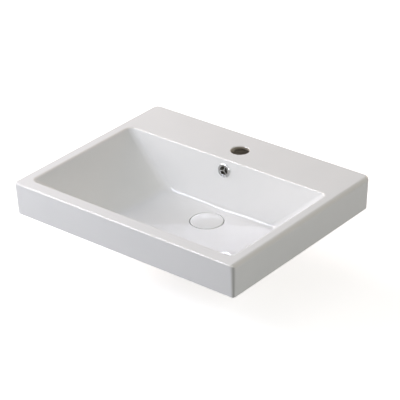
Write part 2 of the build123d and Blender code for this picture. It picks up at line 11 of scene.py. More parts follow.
import bmesh
import bpy
from mathutils import Matrix, Vector
from mathutils.geometry import delaunay_2d_cdt
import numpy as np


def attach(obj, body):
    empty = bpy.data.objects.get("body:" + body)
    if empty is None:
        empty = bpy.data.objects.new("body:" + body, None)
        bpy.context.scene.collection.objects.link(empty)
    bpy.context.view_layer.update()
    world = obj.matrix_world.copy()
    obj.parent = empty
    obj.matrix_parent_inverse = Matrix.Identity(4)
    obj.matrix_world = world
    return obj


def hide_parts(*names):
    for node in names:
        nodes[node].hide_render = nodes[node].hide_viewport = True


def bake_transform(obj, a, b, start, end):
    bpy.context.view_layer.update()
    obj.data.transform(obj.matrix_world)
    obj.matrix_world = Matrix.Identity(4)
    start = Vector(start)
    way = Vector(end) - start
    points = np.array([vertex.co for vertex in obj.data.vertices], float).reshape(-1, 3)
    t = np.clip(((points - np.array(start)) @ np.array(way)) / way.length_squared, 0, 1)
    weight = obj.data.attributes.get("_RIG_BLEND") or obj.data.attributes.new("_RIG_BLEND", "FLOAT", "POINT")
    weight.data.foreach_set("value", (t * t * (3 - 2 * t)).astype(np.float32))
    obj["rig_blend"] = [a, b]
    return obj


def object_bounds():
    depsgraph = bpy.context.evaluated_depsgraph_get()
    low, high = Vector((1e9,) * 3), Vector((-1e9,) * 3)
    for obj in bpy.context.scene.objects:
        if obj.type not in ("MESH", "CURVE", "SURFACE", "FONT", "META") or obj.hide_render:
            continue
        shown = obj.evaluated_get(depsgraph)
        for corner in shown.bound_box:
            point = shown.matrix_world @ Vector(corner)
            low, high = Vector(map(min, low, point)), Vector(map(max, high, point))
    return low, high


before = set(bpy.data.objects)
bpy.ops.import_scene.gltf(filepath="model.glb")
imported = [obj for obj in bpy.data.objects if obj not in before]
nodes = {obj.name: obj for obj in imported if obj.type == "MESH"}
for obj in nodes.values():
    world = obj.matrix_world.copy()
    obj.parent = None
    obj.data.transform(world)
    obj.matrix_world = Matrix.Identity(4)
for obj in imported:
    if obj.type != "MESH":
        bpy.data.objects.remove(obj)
solid_low, solid_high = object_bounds()
print("pieces:", ", ".join(sorted(nodes)))

# %% [markdown]
# The photograph looks down on the right front corner from about 28 degrees above the rim, from far away
# and with a long lens, so parallel edges stay nearly parallel. The camera is turned about its own axis by
# a degree and a half, as the photograph is.

# %% Camera
CAMERA_AZIMUTH = 39.57     # degrees, from straight in front towards the right
CAMERA_ELEVATION = 28.36   # degrees above the rim
CAMERA_ROLL = -1.43        # degrees
CAMERA_DISTANCE = 3.263    # metres
CAMERA_AIM = Vector((0.0616, -0.0536, 0.064))
LENS, SENSOR = 168.3, 36   # millimetres
FAR_END = 20               # metres to where the view ends


def add_camera():
    azimuth, elevation = radians(CAMERA_AZIMUTH), radians(CAMERA_ELEVATION)
    back = Vector((sin(azimuth) * cos(elevation), -cos(azimuth) * cos(elevation), sin(elevation)))
    camera = bpy.data.objects.new("camera", bpy.data.cameras.new("camera"))
    bpy.context.scene.collection.objects.link(camera)
    turn = back.to_track_quat("Z", "Y").to_matrix().to_4x4()
    camera.matrix_world = (Matrix.Translation(CAMERA_AIM + back * CAMERA_DISTANCE) @ turn
                           @ Matrix.Rotation(radians(CAMERA_ROLL), 4, "Z"))
    camera.data.lens = LENS
    camera.data.sensor_width = SENSOR
    camera.data.clip_end = FAR_END
    bpy.context.scene.camera = camera
    return camera


camera = add_camera()
print("camera at", [round(v, 3) for v in camera.location])

# %% [markdown]
# The china is one fired piece, cast in plaster and dipped in glaze. What the eye reads is the skin of the
# glaze: flat faces that turn into each other over roundings of different size, crisp behind the bowl and
# soft along its sides. A bevel of one width can't do that, so the skin is built in rings. Each ring runs
# once round the basin, in columns, and a column asks for the shape of its own side. The corners blend from
# one side's value to the next.

# %% Sizes of the china, in millimetres
MM = 0.001
HALF_WIDTH, HALF_DEPTH, RIM_Z = 250, 200, 64
APRON_DRAFT = 3                                # how far the apron leans in towards its foot
APRON_CORNERS = (9, 13, 13, 9)                 # front right, back right, back left, front left
MOUTH_HALF, MOUTH_FRONT, MOUTH_BACK = 228, -176, 96
SIDE_LEAN, FRONT_LEAN, BACK_LEAN = 46, 44, 9   # degrees from upright
MOUTH_CORNER, FLOOR_CORNER = 13, 17
BOWL_DEPTH, CHINA, FLOOR_FALL = 103, 10, 5.5
FLOOR_Z = RIM_Z - BOWL_DEPTH
FLOOR_BACK_Z = -31.5                           # the floor runs level along the back wall
DRAIN = Vector((0, 39, 0))
RECESS_R, SEAT_Z, DRAIN_HOLE_R = 32, -49.5, 23
TAP_HOLE = Vector((0, 140, 0))
TAP_HOLE_R, TAP_HOLE_EDGE = 17.5, 2
OVERFLOW_Z, OVERFLOW_R = 42, 11.5
print("bowl floor at", FLOOR_Z, "mm")

# %% [markdown]
# The roundings are what the photograph shows best. The values stand for the front, the right, the back and
# the left side. Where two sides meet, a smooth step carries one value into the other.

# %% Roundings, side by side
FOOT_ROUND = (1.5, 1.5, 1.5, 1.5)
RIM_ROUND = (3.6, 8.5, 5.0, 4.5)
MOUTH_ROUND = (4.0, 5.0, 3.4, 9.0)
FLOOR_ROUND = (12.0, 10.0, 9.0, 24.0)
RECESS_ROUND = 1.0
STRAIGHT_STEPS = (44, 28, 40, 28)              # columns along each side
CORNER_STEPS = 12                              # columns round each corner
FOOT_STEPS, ROUND_STEPS = 4, 10                # steps across the foot rounding and the large ones
BEAD_STEPS, RECESS_STEPS = 8, 5                # steps across the edges of tap hole and recess
UP, DOWN = Vector((0, 0, 1)), Vector((0, 0, -1))
ACROSS, BACK = Vector((1, 0, 0)), Vector((0, 1, 0))


def by_side(column, values):
    """The value of a column's side. In a corner it turns smoothly into the next side's."""
    stretch, share = column
    here, after = values[stretch // 2], values[(stretch // 2 + 1) % 4]
    blend = share * share * (3 - 2 * share) if stretch % 2 else 0
    return here + (after - here) * blend


def facing(column):
    """Which way the outline faces at a column, level and outwards."""
    stretch, share = column
    angle = radians(90 * (stretch // 2 + (share if stretch % 2 else 0)) - 90)
    return Vector((cos(angle), sin(angle), 0))


columns = [(stretch, step / steps) for stretch in range(8)
           for steps in [CORNER_STEPS if stretch % 2 else STRAIGHT_STEPS[stretch // 2]]
           for step in range(steps)]
print(len(columns), "columns round the basin")

# %% Level outlines: a rectangle with four rounded corners
def on_outline(column, half, front, back, corners, height):
    """The point of a column on a rounded rectangle."""
    stretch, share = column
    centres = [Vector((half - corners[0], front + corners[0], height)),
               Vector((half - corners[1], back - corners[1], height)),
               Vector((corners[2] - half, back - corners[2], height)),
               Vector((corners[3] - half, front + corners[3], height))]
    corner, outwards = stretch // 2, facing(column)
    ahead = centres[corner] + outwards * corners[corner]
    if stretch % 2:
        return ahead
    behind = centres[corner - 1] + outwards * corners[corner - 1]
    return behind.lerp(ahead, share)


def apron_point(column, height):
    inset = APRON_DRAFT * (1 - height / RIM_Z)
    return on_outline(column, HALF_WIDTH - inset, inset - HALF_DEPTH, HALF_DEPTH - inset,
                      [r - inset for r in APRON_CORNERS], height)


def wall_point(column, height):
    """The face of the bowl's wall, as a straight line down each column."""
    drop = RIM_Z - height
    corner = MOUTH_CORNER + (FLOOR_CORNER - MOUTH_CORNER) * drop / BOWL_DEPTH
    return on_outline(column, MOUTH_HALF - drop * tan(radians(SIDE_LEAN)),
                      MOUTH_FRONT + drop * tan(radians(FRONT_LEAN)),
                      MOUTH_BACK - drop * tan(radians(BACK_LEAN)), [corner] * 4, height)


def cone_height(point):
    away = hypot(point.x - DRAIN.x, point.y - DRAIN.y)
    return FLOOR_Z + (away - RECESS_R) * tan(radians(FLOOR_FALL))


def floor_height(column, point):
    """The floor is a very flat cone that falls towards the drain, but its back edge is level."""
    cone = cone_height(point)
    return cone + (FLOOR_BACK_Z - cone) * by_side(column, (0, 0, 1, 0))


def recess_point(point):
    """The nearest point on the edge of the recess round the drain."""
    out = Vector((point.x - DRAIN.x, point.y - DRAIN.y, 0)).normalized()
    return Vector((DRAIN.x, DRAIN.y, FLOOR_Z)) + out * RECESS_R


HALVINGS = 40


def wall_foot(column):
    """Where the wall of a column meets the floor, found by halving."""
    low, high = FLOOR_Z - CHINA, RIM_Z
    for _ in range(HALVINGS):
        middle = (low + high) / 2
        if middle > floor_height(column, wall_point(column, middle)):
            high = middle
        else:
            low = middle
    return wall_point(column, high)


print("wall meets floor at", [round(v, 1) for v in wall_foot(columns[0])])

# %% [markdown]
# A rounding is an arc between two directions: the one that the surface comes from and the one that it goes
# on to. Both lie in the surfaces on either side, square to the edge, so the skin stays smooth across the
# rounding wherever the basin turns.

# %% Arcs between two directions
def round_corner(corner, incoming, outgoing, radius, steps):
    """Points on the arc that replaces a sharp corner."""
    turn = incoming.angle(outgoing)
    inwards = (outgoing - incoming * cos(turn)).normalized()
    centre = corner - incoming * radius * tan(turn / 2) + inwards * radius
    angles = [turn * step / steps for step in range(steps + 1)]
    return [centre - inwards * radius * cos(a) + incoming * radius * sin(a) for a in angles]


def square_to(direction, along):
    """A direction with its share along an edge taken out."""
    return (direction - along * direction.dot(along)).normalized()


NUDGE = 0.01               # share of a stretch, to feel which way an edge runs


def along_edge(point_of, column):
    """The direction in which an edge runs at a column."""
    stretch, share = column
    return (point_of((stretch, share + NUDGE)) - point_of((stretch, share - NUDGE))).normalized()


def outer_section(column):
    """Foot rounding, apron face and rim rounding, from below."""
    outwards = facing(column)
    foot, rim = apron_point(column, 0), apron_point(column, RIM_Z)
    upwards = square_to(rim - foot, UP.cross(outwards))
    return (round_corner(foot, outwards, upwards, by_side(column, FOOT_ROUND), FOOT_STEPS)
            + round_corner(rim, upwards, -outwards, by_side(column, RIM_ROUND), ROUND_STEPS))


def mouth_section(column):
    """The rounding from the flat rim into the bowl."""
    mouth = wall_point(column, RIM_Z)
    fall = square_to(wall_point(column, FLOOR_Z) - mouth, UP.cross(facing(column)))
    return round_corner(mouth, -facing(column), fall, by_side(column, MOUTH_ROUND), ROUND_STEPS)


def floor_section(column):
    """The rounding from the wall into the floor."""
    foot, edge = wall_foot(column), along_edge(wall_foot, column)
    fall = square_to(wall_point(column, FLOOR_Z) - wall_point(column, RIM_Z), edge)
    on_floor = square_to(recess_point(foot) - foot, edge)
    return round_corner(foot, fall, on_floor, by_side(column, FLOOR_ROUND), ROUND_STEPS)


print("side rounding ends at", [round(v, 1) for v in mouth_section((2, 0.5))[-1]])

# %% [markdown]
# The hidden side of the china, with its hollow, its boss and the overflow passage, is right in the solid
# model. A copy of the solid's mesh is merged, the shown faces are taken off it, and the new skin is sewn to
# the loops that are left: at the foot, round the drain, in the tap hole and round the overflow hole. To
# find the shown faces, a flood starts on the rim and stops at those loops.

# %% Copy of the hidden side
NEAR = 0.02                # millimetres, what still counts as on a loop
MERGED_WITHIN = 0.002      # millimetres, vertices this close become one
FOOT_WIDTH = 15.5          # millimetres, the inner loop of the foot lies farther in than this
# The last of these maps marks the painted shade on the upright corners.
GLAZE_MAPS = ("bare", "thin_glaze", "painted_corner_shade")


def overflow_axis_distance(point):
    """How far a point in millimetres lies from the axis of the overflow hole and from the wall's face."""
    lean = radians(BACK_LEAN)
    centre = Vector((0, MOUTH_BACK - (RIM_Z - OVERFLOW_Z) * tan(lean), OVERFLOW_Z))
    out = Vector((0, -cos(lean), sin(lean)))
    offset = point - centre
    return (offset - out * offset.dot(out)).length, abs(offset.dot(out))


def on_seam(vert):
    """The name of the loop that a vertex lies on, of the four that the skin is sewn to, or nothing."""
    point = vert.co / MM
    from_drain = hypot(point.x - DRAIN.x, point.y - DRAIN.y)
    from_tap = hypot(point.x - TAP_HOLE.x, point.y - TAP_HOLE.y)
    from_overflow, off_wall = overflow_axis_distance(point)
    inside_foot = abs(point.x) < HALF_WIDTH - FOOT_WIDTH and abs(point.y) < HALF_DEPTH - FOOT_WIDTH
    return ("foot" if abs(point.z) < NEAR and inside_foot else
            "drain" if abs(point.z - SEAT_Z) < NEAR and abs(from_drain - DRAIN_HOLE_R) < NEAR else
            "tap" if abs(point.z - RIM_Z + TAP_HOLE_EDGE) < NEAR and abs(from_tap - TAP_HOLE_R) < NEAR else
            "overflow" if off_wall < NEAR and abs(from_overflow - OVERFLOW_R) < NEAR else "")


def hidden_side():
    china = bmesh.new()
    china.from_mesh(nodes["basin_body"].data)
    for name in GLAZE_MAPS:
        china.verts.layers.float.new(name)
    bmesh.ops.remove_doubles(china, verts=china.verts, dist=MERGED_WITHIN * MM)
    seam = {edge for edge in china.edges
            if on_seam(edge.verts[0]) and on_seam(edge.verts[0]) == on_seam(edge.verts[1])}
    shown = {max(china.faces, key=lambda face: face.calc_center_median().z)}
    edge_of_flood = list(shown)
    while edge_of_flood:
        face = edge_of_flood.pop()
        for edge in face.edges:
            if edge not in seam:
                fresh = [other for other in edge.link_faces if other not in shown]
                shown.update(fresh)
                edge_of_flood.extend(fresh)
    bmesh.ops.delete(china, geom=list(shown), context="FACES")
    return china


def open_loops(china):
    """The open loops of a mesh, each as its vertices in order."""
    ends = {}
    for edge in china.edges:
        if edge.is_boundary:
            for vert in edge.verts:
                ends.setdefault(vert, []).append(edge.other_vert(vert))
    loops = []
    while ends:
        loop = [next(iter(ends))]
        while True:
            onwards = [vert for vert in ends.pop(loop[-1]) if vert in ends]
            if not onwards:
                break
            loop.append(onwards[0])
        loops.append(loop)
    return loops


china_mesh = hidden_side()
seams = {on_seam(loop[0]): loop for loop in open_loops(china_mesh)}
print("loops to sew to:", {name: len(loop) for name, loop in seams.items()})

# %% [markdown]
# The flat parts between the rings have holes in them, so a Delaunay triangulation fills them. A triangle
# whose three corners all lie on the loop of a hole is inside that hole and is dropped.

# %% Rings, strips between them and flat fills
INSIDE_ONLY, TINY = 1, 1e-5    # which triangles the triangulation keeps, and how near points may lie
bare, thin_glaze, painted_corner_shade = [china_mesh.verts.layers.float[name] for name in GLAZE_MAPS]
for vert in china_mesh.verts:
    vert[bare] = 0.0 if on_seam(vert) == "drain" else 1.0


def add_ring(points, thin=0.0):
    ring = []
    for point in points:
        vert = china_mesh.verts.new(point * MM)
        vert[thin_glaze] = thin
        ring.append(vert)
    return ring


def add_strip(mesh, one, other, skip=()):
    """Quads between two rings of the same length."""
    for i in range(len(one)):
        j = (i + 1) % len(one)
        if i not in skip:
            mesh.faces.new((one[i], one[j], other[j], other[i]))


def fill_flat(mesh, loops, across, up):
    """Triangles in a plane, inside the first loop and outside the others."""
    verts = [vert for loop in loops for vert in loop]
    owner = [number for number, loop in enumerate(loops) for _ in loop]
    borders, start = [], 0
    for loop in loops:
        borders += [(start + i, start + (i + 1) % len(loop)) for i in range(len(loop))]
        start += len(loop)
    flat = [Vector((vert.co.dot(across), vert.co.dot(up))) / MM for vert in verts]
    _, _, triangles, sources, _, _ = delaunay_2d_cdt(flat, borders, [], INSIDE_ONLY, TINY)
    for triangle in triangles:
        corners = [sources[i][0] for i in triangle]
        owners = {owner[i] for i in corners}
        if len(owners) > 1 or owners == {0}:
            mesh.faces.new([verts[i] for i in corners])


def arc_rings(sections):
    """Rings through the sections of all columns. On a convex rounding the glaze runs thin."""
    steps = len(sections[0]) - 1
    return [add_ring([section[i] for section in sections], sin(pi * i / steps)) for i in range(steps + 1)]


# %% Outside: foot, apron and rim
PAINTED_CORNER_SHADE_RINGS = 8             # rings from the foot up that the painted corner shade covers
PAINTED_CORNER_SHADE_WIDTH = 0.2        # share of a corner over which the painted shade line fades out
FIRST_RIM_RING = FOOT_STEPS + 1

outer_sections = [outer_section(column) for column in columns]
outer_rings = [add_ring([section[i] for section in outer_sections],
                        sin(pi * max(0, i - FIRST_RIM_RING) / ROUND_STEPS))
               for i in range(FIRST_RIM_RING + ROUND_STEPS + 1)]
for one, other in zip(outer_rings, outer_rings[1:]):
    add_strip(china_mesh, one, other)
# A grey line of painted shade runs down the rounding of each upright corner of the apron.
for ring in outer_rings[:PAINTED_CORNER_SHADE_RINGS]:
    for vert, (stretch, share) in zip(ring, columns):
        vert[painted_corner_shade] = exp(-((share - 0.5) / PAINTED_CORNER_SHADE_WIDTH) ** 2) if stretch % 2 else 0.0
for vert in outer_rings[0]:
    vert[bare] = 1.0
fill_flat(china_mesh, [outer_rings[0], seams["foot"]], ACROSS, BACK)

# %% Tap hole: the glaze draws a soft bead round its edge
def tap_section(vert):
    out = Vector((vert.co.x / MM - TAP_HOLE.x, vert.co.y / MM - TAP_HOLE.y, 0)).normalized()
    return round_corner(TAP_HOLE + out * TAP_HOLE_R + UP * RIM_Z, -out, DOWN, TAP_HOLE_EDGE, BEAD_STEPS)


# Below the bead the hole's wall is bare body, and its darkened colour is painted shade.
tap_rings = arc_rings([tap_section(vert)[:-1] for vert in seams["tap"]]) + [seams["tap"]]
for one, other in zip(tap_rings, tap_rings[1:]):
    add_strip(china_mesh, one, other)

# %% Bowl: mouth, walls and floor
WALL_ROWS = 4
BACK_STRETCH = 4           # number of the stretch of columns along the back
PATCH_HALF = 22            # half the width of the patch of wall round the overflow hole
GLAZED_FROM = 0.6          # how far outside the overflow hole the glaze begins, under the cover

mouth_rings = arc_rings([mouth_section(column) for column in columns])
floor_sections = [floor_section(column) for column in columns]
floor_rings = [add_ring([section[i] for section in floor_sections]) for i in range(ROUND_STEPS + 1)]
wall_rings = [mouth_rings[-1]]
for row in range(1, WALL_ROWS):
    wall_rings.append(add_ring([above.co.lerp(below.co, row / WALL_ROWS) / MM
                                for above, below in zip(mouth_rings[-1], floor_rings[0])]))
wall_rings.append(floor_rings[0])
fill_flat(china_mesh, [outer_rings[-1], mouth_rings[0], tap_rings[0]], ACROSS, BACK)

round_overflow = [i for i, column in enumerate(columns)
                  if column[0] == BACK_STRETCH and abs(wall_point(column, RIM_Z).x) < PATCH_HALF]
first, last = round_overflow[0], round_overflow[-1]
for one, other in zip(mouth_rings, mouth_rings[1:]):
    add_strip(china_mesh, one, other)
for one, other in zip(wall_rings, wall_rings[1:]):
    add_strip(china_mesh, one, other, skip=range(first, last))
for one, other in zip(floor_rings, floor_rings[1:]):
    add_strip(china_mesh, one, other)
patch = (wall_rings[0][first:last] + [ring[last] for ring in wall_rings[:-1]]
         + wall_rings[-1][first + 1:last + 1][::-1] + [ring[first] for ring in wall_rings[:0:-1]])
overflow_centre = sum((vert.co for vert in seams["overflow"]), Vector()) / len(seams["overflow"]) / MM
# Inside the overflow hole the china is bare body, and its darkened colour is painted shade.
glazed_edge = add_ring([vert.co / MM + (vert.co / MM - overflow_centre).normalized() * GLAZED_FROM
                        for vert in seams["overflow"]])
add_strip(china_mesh, glazed_edge, seams["overflow"])
fill_flat(china_mesh, [patch, glazed_edge], ACROSS, UP)

# %% Floor cone and the recess that the waste lies in
FLOOR_ROWS = 6
SOFTENED = 5               # columns to either side that a row is evened out over, times the row's number


def even_out(values, reach):
    """Each value as the mean of its neighbours, which takes the crease out where level meets cone."""
    count = len(values)
    return [sum(values[(i + step) % count] for step in range(-reach, reach + 1)) / (2 * reach + 1)
            for i in range(count)]


recess_edge = []
for vert in floor_rings[-1]:
    edge = recess_point(vert.co / MM)
    seat = Vector((edge.x, edge.y, SEAT_Z))
    inwards = (edge - vert.co / MM).normalized()
    recess_edge.append(round_corner(edge, inwards, DOWN, RECESS_ROUND, RECESS_STEPS) + [seat])
recess_rings = [add_ring([section[i] for section in recess_edge]) for i in range(RECESS_STEPS + 2)]
cone_rings = [floor_rings[-1]]
for row in range(1, FLOOR_ROWS):
    points = [above.co.lerp(below.co, row / FLOOR_ROWS) / MM
              for above, below in zip(floor_rings[-1], recess_rings[0])]
    over_cone = even_out([point.z - cone_height(point) for point in points], SOFTENED * row)
    for point, over in zip(points, over_cone):
        point.z = cone_height(point) + over
    cone_rings.append(add_ring(points))
cone_rings += recess_rings
for one, other in zip(cone_rings, cone_rings[1:]):
    add_strip(china_mesh, one, other)
fill_flat(china_mesh, [recess_rings[-1], seams["drain"]], ACROSS, BACK)

# %% [markdown]
# Smooth shading would tint the flat faces near each rounding. Weighted normals cure that: each vertex
# takes its direction from the largest faces round it, so a flat face stays flat up to where its rounding
# starts. Edges that turn by more than 35 degrees stay sharp.

# %% The china as one closed piece
def plain_mesh(piece):
    """Applies a piece's modifiers and leaves a plain mesh."""
    evaluated = piece.evaluated_get(bpy.context.evaluated_depsgraph_get())
    mesh = bpy.data.meshes.new_from_object(evaluated)
    piece.modifiers.clear()
    piece.data = mesh
    mesh.name = piece.name
    return piece


def add_piece(name, mesh):
    piece = bpy.data.objects.new(name, mesh)
    bpy.context.scene.collection.objects.link(piece)
    return piece


def finish_surface(name, mesh, sharp_angle):
    """A piece with smooth faces, sharp edges where it turns sharply, and weighted normals."""
    bmesh.ops.delete(mesh, geom=[vert for vert in mesh.verts if not vert.link_faces], context="VERTS")
    bmesh.ops.recalc_face_normals(mesh, faces=mesh.faces)
    data = bpy.data.meshes.new(name)
    open_edges = sum(not edge.is_manifold for edge in mesh.edges)
    mesh.to_mesh(data)
    mesh.free()
    data.polygons.foreach_set("use_smooth", [True] * len(data.polygons))
    data.set_sharp_from_angle(angle=radians(sharp_angle))
    piece = add_piece(name, data)
    weighted = piece.modifiers.new("weighted normals", "WEIGHTED_NORMAL")
    weighted.keep_sharp = True
    plain_mesh(piece)
    print(name, len(piece.data.polygons), "faces,", open_edges, "open or doubled edges")
    return piece


china_body = finish_surface("china_body", china_mesh, sharp_angle=35)
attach(china_body, "root")
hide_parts("basin_body")

# %% [markdown]
# Two kinds of things are made of nodes below: the finishes, and the shapes that follow a rule. The same
# function adds a node to either kind of tree.

# %% Building a node tree
def add_node(tree, kind, links=None, **settings):
    """One node, with its settings, the values of its sockets and what feeds them."""
    node = tree.nodes.new(kind)
    for name, value in settings.items():
        setattr(node, name, value)
    for socket, value in (links or {}).items():
        if isinstance(value, bpy.types.NodeSocket):
            tree.links.new(value, node.inputs[socket])
        else:
            node.inputs[socket].default_value = value
    return node


def new_shape_tree(name, sizes):
    """An empty Geometry Nodes tree with a named input for each size."""
    tree = bpy.data.node_groups.new(name, "GeometryNodeTree")
    tree.interface.new_socket("Geometry", in_out="INPUT", socket_type="NodeSocketGeometry")
    for size in sizes:
        tree.interface.new_socket(size, in_out="INPUT", socket_type="NodeSocketFloat")
    tree.interface.new_socket("Geometry", in_out="OUTPUT", socket_type="NodeSocketGeometry")
    return tree, tree.nodes.new("NodeGroupInput").outputs, tree.nodes.new("NodeGroupOutput").inputs


def own_position(tree):
    """Where each point lies, as X, Y and Z."""
    place = tree.nodes.new("GeometryNodeInputPosition").outputs[0]
    return add_node(tree, "ShaderNodeSeparateXYZ", {0: place}).outputs


def close_tree(tree, geometry, material, out):
    """Ends a tree with real geometry that carries its material."""
    whole = add_node(tree, "GeometryNodeRealizeInstances", {"Geometry": geometry})
    painted = add_node(tree, "GeometryNodeSetMaterial", {"Geometry": whole.outputs[0], "Material": material})
    tree.links.new(painted.outputs[0], out["Geometry"])
    return tree


def grow(name, tree, sizes):
    """A piece that a tree makes, as a plain mesh."""
    piece = add_piece(name, bpy.data.meshes.new(name))
    modifier = piece.modifiers.new(tree.name, "NODES")
    modifier.node_group = tree
    for item in tree.interface.items_tree:
        if item.in_out == "INPUT" and item.name in sizes:
            modifier[item.identifier] = sizes[item.name]
    return plain_mesh(piece)


def work_out(tree, known, steps):
    """A chain of sums. Each step has a name, an operation and one or two values, by name or as numbers."""
    for name, operation, *values in steps:
        links = {i: known.get(value, value) for i, value in enumerate(values)}
        known[name] = add_node(tree, "ShaderNodeMath", links, operation=operation).outputs[0]
    return known


# %% [markdown]
# Colours are written as sRGB hex values, as a paint chart gives them. One function turns them into the
# linear values that the sockets hold. The others each add what most of the finishes need.

# %% Colours and the parts of a finish
COLOUR, COLOUR_A, COLOUR_B = 2, 6, 7       # sockets of a Mix node that mixes colours


def linear(hex_colour):
    values = [int(hex_colour[i:i + 2], 16) / 255 for i in (0, 2, 4)]
    return [v / 12.92 if v <= 0.04045 else ((v + 0.055) / 1.055) ** 2.4 for v in values] + [1.0]


def new_material(name):
    """A material with its shader and with the object's own coordinates, in metres."""
    material = bpy.data.materials.new(name)
    material.use_nodes = True
    tree = material.node_tree
    shader = tree.nodes["Principled BSDF"]
    place = tree.nodes.new("ShaderNodeTexCoord").outputs["Object"]
    return material, tree, shader, place


def feed(shader, **outputs):
    """Links outputs of other nodes to the shader's sockets."""
    for socket, output in outputs.items():
        shader.id_data.links.new(output, shader.inputs[socket.replace("_", " ")])


def per_metre(millimetres):
    """The scale of a pattern whose features are this far apart."""
    return 1000 / millimetres


def noise(tree, place, spacing, detail, distortion=0.0):
    """Noise with blotches this many millimetres apart."""
    sizes = {"Scale": per_metre(spacing), "Detail": detail, "Distortion": distortion}
    return add_node(tree, "ShaderNodeTexNoise", {"Vector": place, **sizes}).outputs["Fac"]


def mix_colours(tree, share, one, other):
    """A mix of two colours, each given as a hex value or as the output of a node."""
    one, other = [linear(colour) if isinstance(colour, str) else colour for colour in (one, other)]
    return add_node(tree, "ShaderNodeMix", {0: share, COLOUR_A: one, COLOUR_B: other},
                    data_type="RGBA").outputs[COLOUR]


def between(tree, value, low, high, start=0.0, end=1.0):
    """A value that runs from low to high while another runs from start to end."""
    return add_node(tree, "ShaderNodeMapRange", {"Value": value, "From Min": start, "From Max": end,
                                                 "To Min": low, "To Max": high}).outputs[0]


def relief(tree, height, strength, depth):
    """Bumps of a depth in millimetres."""
    return add_node(tree, "ShaderNodeBump", {"Height": height, "Strength": strength,
                                             "Distance": depth * MM}).outputs[0]


# %% [markdown]
# Vitreous china under a clear gloss glaze that is opacified white. The glaze is glass, so it reflects
# sharply, and hardly at all face on. It was poured on wet and levelled in the kiln: its face waves very
# slightly over a few centimetres, and it runs thin over each convex edge, where the warmer body shows
# through. A grey line of painted shade runs down the rounding of each of the four upright corners of the
# apron. Glaze is kept off the foot and the inside. There the bare fired body is matt and a little creamy,
# with fine grit from the mould; its colour is partly painted shade, kept darker so that the tap hole and
# the overflow hole read dark. Three attributes of the mesh say where it is bare, thin or carries the
# painted corner shade.

# %% Glazed vitreous china
GLAZE_WHITE, GLAZE_SHADE, GLAZE_EDGE = "ebebe9", "e5e6e4", "ece6dc"
# Grey of the painted shade down the upright corners of the apron.
PAINTED_CORNER_SHADE_GREY = "b6b6b3"
# Colours of the bare body, creamy with grit, and kept darker as painted shade so the tap hole and the
# overflow hole read dark.
SHADED_BODY_CREAM, SHADED_BODY_GREY = "bfb7a8", "a29a8d"
THIN_SHARE = 0.45              # how far the body shows through where the glaze is thinnest
GLAZE_ROUGHNESS, GLAZE_SMEAR, BODY_ROUGHNESS = 0.05, 0.04, 0.7
GLAZE_IOR = 1.52


def glazed_china():
    material, tree, shader, place = new_material("vitreous_china_gloss_glaze")
    is_bare, is_thin, is_painted_corner_shade = [add_node(tree, "ShaderNodeAttribute", attribute_name=name).outputs["Fac"]
                                    for name in GLAZE_MAPS]
    cloud, grit = noise(tree, place, 70, 2.0), noise(tree, place, 1.4, 4.0)
    ripple = noise(tree, place, 28, 1.0)
    known = work_out(tree, {"thin": is_thin, "cloud": cloud}, [
        ("edge", "MULTIPLY", "thin", THIN_SHARE), ("smear", "MULTIPLY", "cloud", GLAZE_SMEAR),
        ("gloss", "ADD", "smear", GLAZE_ROUGHNESS)])
    glaze = mix_colours(tree, cloud, GLAZE_WHITE, GLAZE_SHADE)
    edged = mix_colours(tree, known["edge"], glaze, GLAZE_EDGE)
    # The painted corner shade is mixed into the glaze's colour here.
    skin = mix_colours(tree, is_painted_corner_shade, edged, PAINTED_CORNER_SHADE_GREY)
    # The bare body, whose darkened colour is partly painted shade.
    body = mix_colours(tree, grit, SHADED_BODY_GREY, SHADED_BODY_CREAM)
    rough = add_node(tree, "ShaderNodeMix", {0: is_bare, 2: known["gloss"], 3: BODY_ROUGHNESS})
    height = add_node(tree, "ShaderNodeMix", {0: is_bare, 2: ripple, 3: grit})
    feed(shader, Base_Color=mix_colours(tree, is_bare, skin, body), Roughness=rough.outputs[0],
         Normal=relief(tree, height.outputs[0], 0.35, 0.12))
    shader.inputs["IOR"].default_value = GLAZE_IOR
    return material


china = glazed_china()

# %% [markdown]
# Chrome is plated over polished brass. It mirrors its surroundings a little darker than they are, and its
# face has polishing swirls and dried water spots, which only show in the gloss.

# %% Chrome plate
def chrome_plate():
    material, tree, shader, place = new_material("chrome_plate_on_brass")
    swirl = noise(tree, place, 2.5, 5.0, distortion=1.5)
    spots = add_node(tree, "ShaderNodeTexVoronoi", {"Vector": place, "Scale": per_metre(5)})
    feed(shader, Base_Color=mix_colours(tree, spots.outputs["Distance"], "dcdde0", "cfd1d4"),
         Roughness=between(tree, swirl, 0.04, 0.13, start=0.3, end=0.75),
         Normal=relief(tree, swirl, 0.15, 0.02))
    shader.inputs["Metallic"].default_value = 1.0
    return material


chrome = chrome_plate()

# %% [markdown]
# The nut and the cartridge are turned from brass bar and left as they come off the lathe. The tool leaves
# rings round the drain's axis, so a wave pattern is centred there. Real rings are 0.1 to 0.2 mm apart,
# which is too fine to show, so they are drawn 3.8 mm apart. The brass has browned a little in the air.

# %% Turned brass
WAVE_TURN = 20                 # radians that a wave texture goes through in one unit
RING_STEP = 0.6                # millimetres for each radian, so the rings lie 2 pi times that apart


def turned_brass():
    material, tree, shader, place = new_material("turned_brass")
    centred = add_node(tree, "ShaderNodeMapping", {"Vector": place, "Location": -DRAIN * MM})
    rings = add_node(tree, "ShaderNodeTexWave", {
        "Vector": centred.outputs[0], "Scale": per_metre(RING_STEP) / WAVE_TURN, "Distortion": 0.6,
        "Detail": 2.0}, wave_type="RINGS", rings_direction="Z")
    air = noise(tree, place, 9, 4.0)
    feed(shader, Base_Color=mix_colours(tree, air, "d2ae67", "a98143"),
         Roughness=between(tree, air, 0.2, 0.42), Normal=relief(tree, rings.outputs["Fac"], 0.3, 0.05))
    shader.inputs["Metallic"].default_value = 1.0
    return material


brass = turned_brass()

